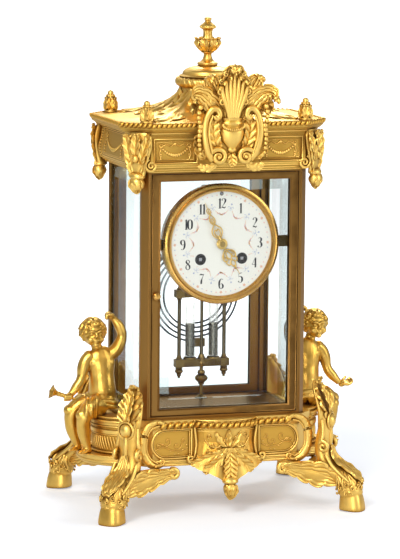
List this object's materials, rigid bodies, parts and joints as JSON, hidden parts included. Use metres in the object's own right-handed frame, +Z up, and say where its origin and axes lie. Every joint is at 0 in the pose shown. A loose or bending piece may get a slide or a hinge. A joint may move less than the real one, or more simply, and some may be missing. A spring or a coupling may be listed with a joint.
{
  "type": "four_glass_mantel_clock",
  "caption": "Gilt mantel clock with bevelled glass case, swelling cornice, urn finial, mercury pendulum, coiled gong and a seated child figure on each side of a footed base",
  "frame": {"origin": "on the floor under the middle of the clock", "axes": "+Z up, -Y the dial's side, +X the viewer's right when facing the dial"},
  "size_m": [0.2927, 0.194, 0.4398],
  "materials": {
    "gilt_bronze": "fire-gilt cast bronze, burnished high points and matte ground",
    "case_brass": "lacquered brass gone brown",
    "polished_brass": "polished gilt brass",
    "movement_brass": "brushed brass",
    "gilt_hands": "pierced gilt brass",
    "arbor_steel": "polished steel",
    "gong_steel": "blued steel wire",
    "enamel": "white fired enamel, painted",
    "mercury": "liquid metal behind glass",
    "jar_glass": "clear glass tube",
    "case_glass": "clear plate glass with polished bevels"
  },
  "bodies": {
    "clock": {"base_casting": "gilt_bronze", "apron_leaf": "gilt_bronze", "foot_front_left": "gilt_bronze", "foot_front_right": "gilt_bronze", "foot_rear_left": "gilt_bronze", "foot_rear_right": "gilt_bronze", "seats": "gilt_bronze", "putto_left": "gilt_bronze", "putto_right": "gilt_bronze", "case_floor": "case_brass", "corner_posts": "case_brass", "top_frame": "case_brass", "side_glass_left": "case_glass", "side_glass_right": "case_glass", "cornice": "gilt_bronze", "roof": "gilt_bronze", "roof_cap": "gilt_bronze", "finial": "gilt_bronze", "crest": "gilt_bronze", "cornice_masks": "gilt_bronze", "corner_finials": "gilt_bronze", "movement_brackets": "case_brass", "bezel": "polished_brass", "dial": "enamel", "front_plate": "movement_brass", "rear_plate": "movement_brass", "plate_pillars": "movement_brass", "gong": "gong_steel", "gong_stand": "case_brass", "back_cock": "movement_brass"},
    "front_door": {"front_door_frame": "case_brass", "front_door_glass": "case_glass"},
    "rear_door": {"rear_door_frame": "case_brass", "rear_door_glass": "case_glass"},
    "front_latch": {"front_door_knob": "polished_brass"},
    "rear_latch": {"rear_door_knob": "polished_brass"},
    "centre": {"minute_hand": "gilt_hands", "cannon_pinion": "movement_brass", "centre_wheel": "movement_brass"},
    "hour": {"hour_hand": "gilt_hands", "hour_wheel": "movement_brass"},
    "minute_wheel": {"minute_wheel": "movement_brass"},
    "second_wheel": {"second_wheel": "movement_brass"},
    "third_wheel": {"third_wheel": "movement_brass"},
    "escape_wheel": {"escape_wheel": "movement_brass"},
    "going_barrel": {"going_barrel": "movement_brass"},
    "going_arbor": {"going_arbor": "arbor_steel"},
    "strike_barrel": {"strike_barrel": "movement_brass"},
    "strike_arbor": {"strike_arbor": "arbor_steel"},
    "strike_wheel": {"strike_wheel": "movement_brass"},
    "strike_fly": {"strike_fly": "movement_brass"},
    "hammer": {"hammer": "arbor_steel"},
    "going_click": {"going_click": "arbor_steel"},
    "strike_click": {"strike_click": "arbor_steel"},
    "pendulum": {"pendulum": "movement_brass", "mercury_jars": "jar_glass", "mercury": "mercury"},
    "pallets": {"pallets": "arbor_steel"},
    "rating_nut": {"rating_nut": "movement_brass"},
    "regulator": {"regulator_arbor": "arbor_steel"}
  },
  "joints": [
    {"name": "front_door_hinge", "type": "hinge", "parent": "clock", "child": "front_door", "pos_m": [0.066, -0.0535, 0.0884], "axis": [0, 0, 1], "range_deg": [0, 95]},
    {"name": "rear_door_hinge", "type": "hinge", "parent": "clock", "child": "rear_door", "pos_m": [-0.066, 0.0535, 0.0884], "axis": [0, 0, 1], "range_deg": [0, 95]},
    {"name": "front_latch_turn", "type": "hinge", "parent": "front_door", "child": "front_latch", "pos_m": [-0.0644, -0.0555, 0.1968], "axis": [0, -1, 0], "range_deg": [0, 90]},
    {"name": "rear_latch_turn", "type": "hinge", "parent": "rear_door", "child": "rear_latch", "pos_m": [0.0644, 0.0555, 0.1968], "axis": [0, 1, 0], "range_deg": [0, 90]},
    {"name": "centre_turn", "type": "hinge", "parent": "clock", "child": "centre", "pos_m": [0, -0.03, 0.2402], "axis": [0, 1, 0], "continuous": true},
    {"name": "hour_turn", "type": "hinge", "parent": "clock", "child": "hour", "pos_m": [0, -0.04, 0.2402], "axis": [0, 1, 0], "continuous": true},
    {"name": "minute_wheel_turn", "type": "hinge", "parent": "clock", "child": "minute_wheel", "pos_m": [-0.00628, -0.037, 0.23392], "axis": [0, 1, 0], "continuous": true},
    {"name": "second_turn", "type": "hinge", "parent": "clock", "child": "second_wheel", "pos_m": [0.01486, -0.02, 0.24714], "axis": [0, 1, 0], "continuous": true},
    {"name": "third_turn", "type": "hinge", "parent": "clock", "child": "third_wheel", "pos_m": [-0.00903, -0.02, 0.2531], "axis": [0, 1, 0], "continuous": true},
    {"name": "escape_turn", "type": "hinge", "parent": "clock", "child": "escape_wheel", "pos_m": [0, -0.02, 0.2621], "axis": [0, 1, 0], "continuous": true},
    {"name": "going_barrel_turn", "type": "hinge", "parent": "clock", "child": "going_barrel", "pos_m": [0.0195, -0.02, 0.2265], "axis": [0, 1, 0], "continuous": true},
    {"name": "going_winding_turn", "type": "hinge", "parent": "clock", "child": "going_arbor", "pos_m": [0.0195, -0.04, 0.2265], "axis": [0, 1, 0], "continuous": true},
    {"name": "strike_winding_turn", "type": "hinge", "parent": "clock", "child": "strike_arbor", "pos_m": [-0.0195, -0.04, 0.2265], "axis": [0, 1, 0], "continuous": true},
    {"name": "pin_wheel_turn", "type": "hinge", "parent": "clock", "child": "strike_wheel", "pos_m": [-0.0059, -0.02, 0.21029], "axis": [0, 1, 0], "continuous": true},
    {"name": "strike_barrel_turn", "type": "hinge", "parent": "clock", "child": "strike_barrel", "pos_m": [-0.0195, -0.02, 0.2265], "axis": [0, 1, 0], "continuous": true},
    {"name": "fly_turn", "type": "hinge", "parent": "clock", "child": "strike_fly", "pos_m": [0.00711, -0.02, 0.20752], "axis": [0, 1, 0], "continuous": true},
    {"name": "hammer_swing", "type": "hinge", "parent": "clock", "child": "hammer", "pos_m": [-0.01506, -0.002, 0.23946], "axis": [0, 1, 0], "range_deg": [0, 15], "stiffness_Nm_per_rad": 0.02},
    {"name": "going_click_swing", "type": "hinge", "parent": "clock", "child": "going_click", "pos_m": [0.029, -0.036, 0.2227], "axis": [0, 1, 0], "range_deg": [0, 12], "stiffness_Nm_per_rad": 0.002},
    {"name": "strike_click_swing", "type": "hinge", "parent": "clock", "child": "strike_click", "pos_m": [-0.01, -0.036, 0.2227], "axis": [0, 1, 0], "range_deg": [0, 12], "stiffness_Nm_per_rad": 0.002},
    {"name": "pendulum_swing", "type": "hinge", "parent": "clock", "child": "pendulum", "pos_m": [0, 0.01, 0.2771], "axis": [0, 1, 0], "range_deg": [-3.5, 3.5]},
    {"name": "pallets_swing", "type": "hinge", "parent": "clock", "child": "pallets", "pos_m": [0, -0.02, 0.2771], "axis": [0, 1, 0], "range_deg": [-3.5, 3.5]},
    {"name": "rating_nut_turn", "type": "hinge", "parent": "pendulum", "child": "rating_nut", "pos_m": [0, 0.01, 0.1068], "axis": [0, 0, 1], "continuous": true},
    {"name": "regulator_turn", "type": "hinge", "parent": "clock", "child": "regulator", "pos_m": [0, -0.04, 0.2852], "axis": [0, 1, 0], "range_deg": [-180, 180]}
  ],
  "couplings": [
    {"joint": "hour_turn", "follows": "centre_turn", "ratio": 0.083333},
    {"joint": "minute_wheel_turn", "follows": "centre_turn", "ratio": -0.33333},
    {"joint": "second_turn", "follows": "centre_turn", "ratio": -0.13889},
    {"joint": "going_barrel_turn", "follows": "centre_turn", "ratio": 0.020833},
    {"joint": "third_turn", "follows": "centre_turn", "ratio": -8},
    {"joint": "escape_turn", "follows": "centre_turn", "ratio": 60},
    {"joint": "strike_barrel_turn", "follows": "pin_wheel_turn", "ratio": -0.15},
    {"joint": "fly_turn", "follows": "pin_wheel_turn", "ratio": -6},
    {"joint": "pallets_swing", "follows": "pendulum_swing", "ratio": 1}
  ]
}
